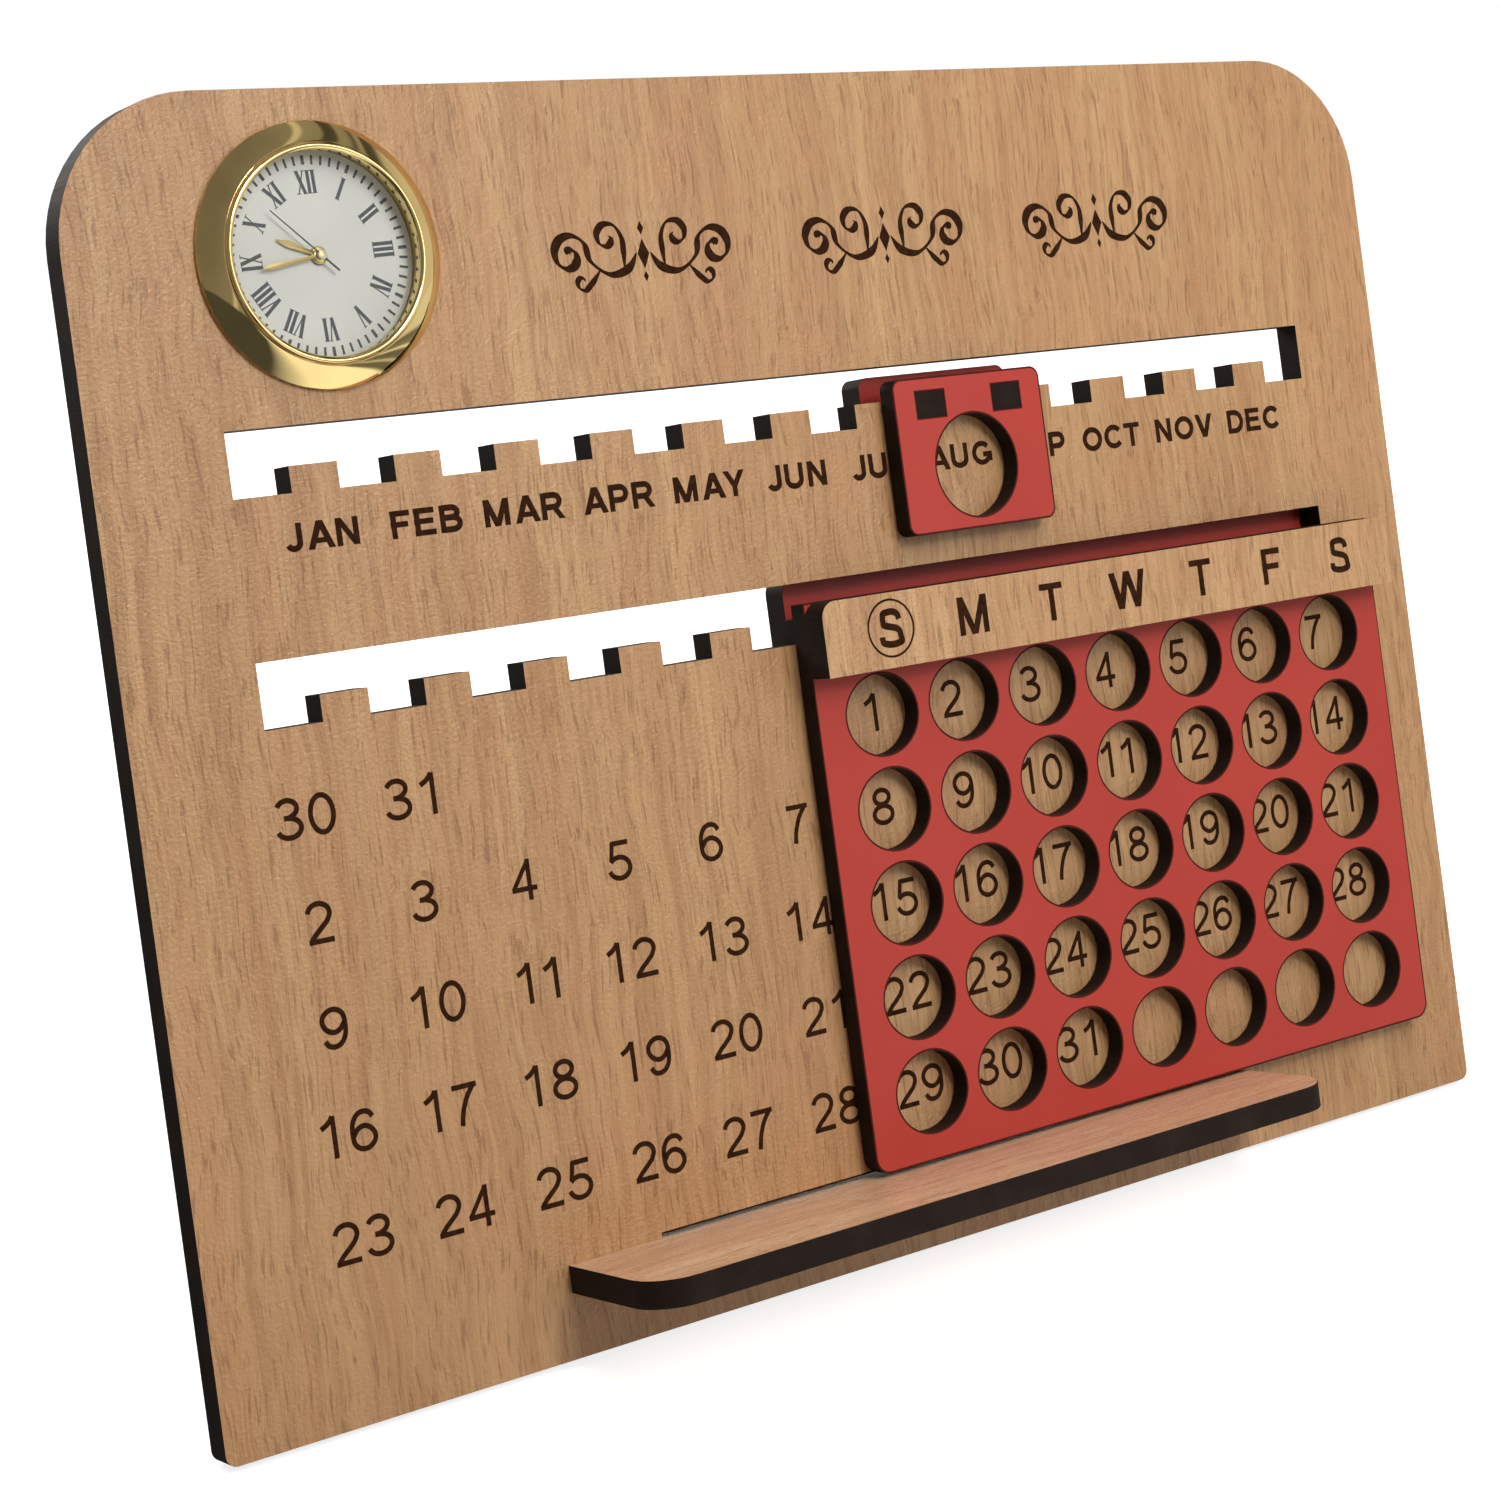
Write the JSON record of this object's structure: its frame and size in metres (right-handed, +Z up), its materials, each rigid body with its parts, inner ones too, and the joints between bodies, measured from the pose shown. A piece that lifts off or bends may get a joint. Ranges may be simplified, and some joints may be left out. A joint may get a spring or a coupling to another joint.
{
  "type": "desk clock with perpetual calendar",
  "caption": "Leaning wooden desk stand with a round quartz clock, a sliding month marker and a sliding weekday header over windows that show the dates.",
  "frame": {"origin": "on the desk, at the middle of the object's footprint", "axes": "+X to the viewer's right along the panel, +Y away from the viewer, +Z up; the panel leans back 13 degrees"},
  "size_m": [0.28, 0.0778, 0.2058],
  "materials": {
    "beech_board": "satin beech laminate, laser-cut edges burnt dark",
    "red_board": "satin red laminate, laser-cut edges burnt dark",
    "gold_metal": "polished, gold-plated",
    "dial_white": "matt white lacquer with printed numerals",
    "lens_glass": "clear",
    "hand_gold": "polished",
    "hand_dark": "satin black",
    "black_plastic": "moulded",
    "grip_rubber": "matt",
    "wheel_plastic": "moulded, natural",
    "plate_plastic": "moulded",
    "copper_wire": "enamelled copper wire",
    "stator_steel": "soft magnetic sheet",
    "cell_steel": "nickel-plated",
    "circuit_green": "solder mask"
  },
  "bodies": {
    "stand": {"front_panel": "beech_board", "ledge_plate": "beech_board"},
    "month_slider": {"month_front_plate": "red_board", "month_back_plate": "red_board", "month_pegs": "beech_board"},
    "date_slider": {"date_front_plate": "red_board", "date_header_strip": "beech_board", "date_back_bar": "red_board", "date_pegs": "beech_board"},
    "clock_insert": {"clock_bezel": "gold_metal", "clock_lens": "lens_glass", "clock_dial": "dial_white", "clock_case": "black_plastic", "grip_ring": "grip_rubber", "main_plate": "plate_plastic", "train_bridge": "plate_plastic", "coil_bobbin": "black_plastic", "coil_winding": "copper_wire", "stator": "stator_steel", "circuit_board": "circuit_green", "quartz_can": "cell_steel", "button_cell": "cell_steel", "battery_contacts": "cell_steel"},
    "battery_lid": {"battery_cover": "black_plastic"},
    "seconds": {"seconds_wheel": "wheel_plastic", "second_hand": "hand_dark"},
    "intermediate": {"intermediate_wheel": "wheel_plastic"},
    "motor_rotor": {"rotor": "wheel_plastic"},
    "third": {"third_wheel": "wheel_plastic"},
    "centre": {"centre_wheel": "wheel_plastic"},
    "minutes": {"cannon_pinion": "wheel_plastic", "minute_hand": "hand_gold"},
    "minute_work": {"minute_wheel": "wheel_plastic"},
    "hours": {"hour_wheel": "wheel_plastic", "hour_hand": "hand_gold"},
    "setting": {"setting_knob": "wheel_plastic"}
  },
  "joints": [
    {"name": "month_slide", "type": "slide", "parent": "stand", "child": "month_slider", "axis": [1, 0, 0], "range_m": [-0.03754, 0.07508]},
    {"name": "date_slide", "type": "slide", "parent": "stand", "child": "date_slider", "axis": [1, 0, 0], "range_m": [-0.11262, 0]},
    {"name": "insert_pull", "type": "slide", "parent": "stand", "child": "clock_insert", "axis": [0, -0.9744, 0.225], "range_m": [0, 0.012]},
    {"name": "battery_lid_off", "type": "slide", "parent": "clock_insert", "child": "battery_lid", "axis": [0, 0.9744, -0.225], "range_m": [0, 0.005]},
    {"name": "seconds_turn", "type": "hinge", "parent": "clock_insert", "child": "seconds", "pos_m": [-0.0966, 0.032, 0.17816], "axis": [0, 0.9744, -0.225], "continuous": true},
    {"name": "intermediate_turn", "type": "hinge", "parent": "clock_insert", "child": "intermediate", "pos_m": [-0.09161, 0.03183, 0.17525], "axis": [0, 0.9744, -0.225], "continuous": true},
    {"name": "rotor_turn", "type": "hinge", "parent": "clock_insert", "child": "motor_rotor", "pos_m": [-0.08635, 0.03129, 0.17734], "axis": [0, 0.9744, -0.225], "continuous": true},
    {"name": "third_turn", "type": "hinge", "parent": "clock_insert", "child": "third", "pos_m": [-0.10171, 0.03089, 0.17651], "axis": [0, 0.9744, -0.225], "continuous": true},
    {"name": "centre_turn", "type": "hinge", "parent": "clock_insert", "child": "centre", "pos_m": [-0.0966, 0.03014, 0.17859], "axis": [0, 0.9744, -0.225], "continuous": true},
    {"name": "minutes_turn", "type": "hinge", "parent": "clock_insert", "child": "minutes", "pos_m": [-0.0966, 0.02849, 0.17897], "axis": [0, 0.9744, -0.225], "continuous": true},
    {"name": "minute_work_turn", "type": "hinge", "parent": "clock_insert", "child": "minute_work", "pos_m": [-0.0966, 0.02721, 0.17434], "axis": [0, 0.9744, -0.225], "continuous": true},
    {"name": "hours_turn", "type": "hinge", "parent": "clock_insert", "child": "hours", "pos_m": [-0.0966, 0.0278, 0.17913], "axis": [0, 0.9744, -0.225], "continuous": true},
    {"name": "setting_turn", "type": "hinge", "parent": "clock_insert", "child": "setting", "pos_m": [-0.09999, 0.02966, 0.17029], "axis": [0, 0.9744, -0.225], "continuous": true}
  ],
  "couplings": [
    {"joint": "intermediate_turn", "follows": "seconds_turn", "ratio": -5},
    {"joint": "rotor_turn", "follows": "seconds_turn", "ratio": 30},
    {"joint": "third_turn", "follows": "seconds_turn", "ratio": -0.13333},
    {"joint": "centre_turn", "follows": "seconds_turn", "ratio": 0.016667},
    {"joint": "minute_work_turn", "follows": "minutes_turn", "ratio": -0.33333},
    {"joint": "hours_turn", "follows": "minutes_turn", "ratio": 0.083333},
    {"joint": "setting_turn", "follows": "minutes_turn", "ratio": 1}
  ]
}
